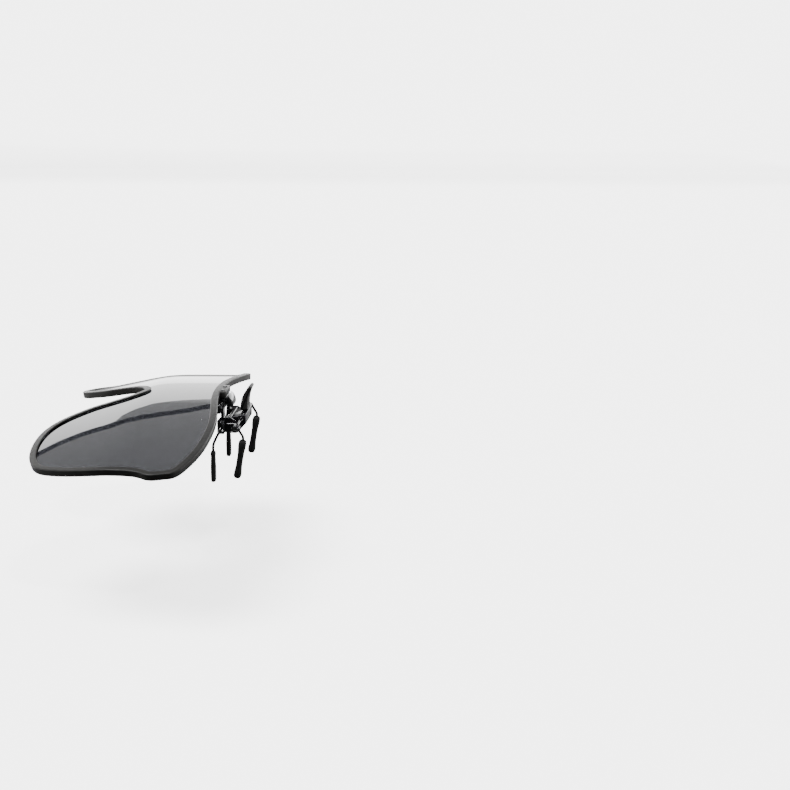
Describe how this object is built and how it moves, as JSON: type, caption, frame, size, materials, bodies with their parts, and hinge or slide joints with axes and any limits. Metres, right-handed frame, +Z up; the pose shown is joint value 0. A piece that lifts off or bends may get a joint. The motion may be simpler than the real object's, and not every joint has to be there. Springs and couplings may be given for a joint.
{
  "type": "clip on flip lenses",
  "caption": "Tinted shield lens in a full rim, hinged on a spring clip that grips the bridge of a pair of glasses so the lens can flip down or up.",
  "frame": {"origin": "middle of the gap between the front and rear pads, where the bridge of the wearer's glasses is gripped", "axes": "+X to the wearer's left along the hinge axes, -Y forward away from the face, +Z up"},
  "size_m": [0.1419, 0.061, 0.0271],
  "materials": {
    "rim_black": "satin black",
    "smoke_lens": "polished neutral smoke grey",
    "black_nickel": "glossy black nickel plating",
    "pad_rubber": "matte black silicone sleeve",
    "lever_plastic": "fine matte black",
    "cover_gloss": "gloss black",
    "dark_steel": "turned steel",
    "spring_steel": "drawn spring wire"
  },
  "bodies": {
    "clip_base": {"clip_bracket": "black_nickel", "flip_hinge_screw": "dark_steel", "flip_hinge_nut": "dark_steel", "hinge_washer_left": "dark_steel", "hinge_washer_right": "dark_steel", "jaw_pivot_pin": "dark_steel", "pivot_pin_cap": "dark_steel", "jaw_spring_left": "spring_steel", "jaw_spring_right": "spring_steel", "front_prong_wire": "black_nickel", "wire_clamp_left": "black_nickel", "wire_clamp_right": "black_nickel", "clamp_screw_left": "dark_steel", "clamp_screw_right": "dark_steel", "front_pad_left": "pad_rubber", "front_pad_right": "pad_rubber"},
    "rear_jaw": {"rear_jaw_plate": "black_nickel", "thumb_lever": "lever_plastic", "rear_prong_wire": "black_nickel", "rear_pad_left": "pad_rubber", "rear_pad_right": "pad_rubber"},
    "lens_frame": {"rim_frame": "rim_black", "shield_lens": "smoke_lens", "lens_hinge_tab": "black_nickel", "tab_screw_left": "dark_steel", "tab_screw_right": "dark_steel", "hinge_cover": "cover_gloss"}
  },
  "joints": [
    {"name": "flip_hinge", "type": "hinge", "parent": "clip_base", "child": "lens_frame", "pos_m": [0, -0.0029, 0.016], "axis": [1, 0, 0], "range_deg": [-90, 90]},
    {"name": "jaw_pivot", "type": "hinge", "parent": "clip_base", "child": "rear_jaw", "pos_m": [0, 0.0028, 0.0102], "axis": [1, 0, 0], "range_deg": [-20, 12], "stiffness_Nm_per_rad": 0.02}
  ]
}
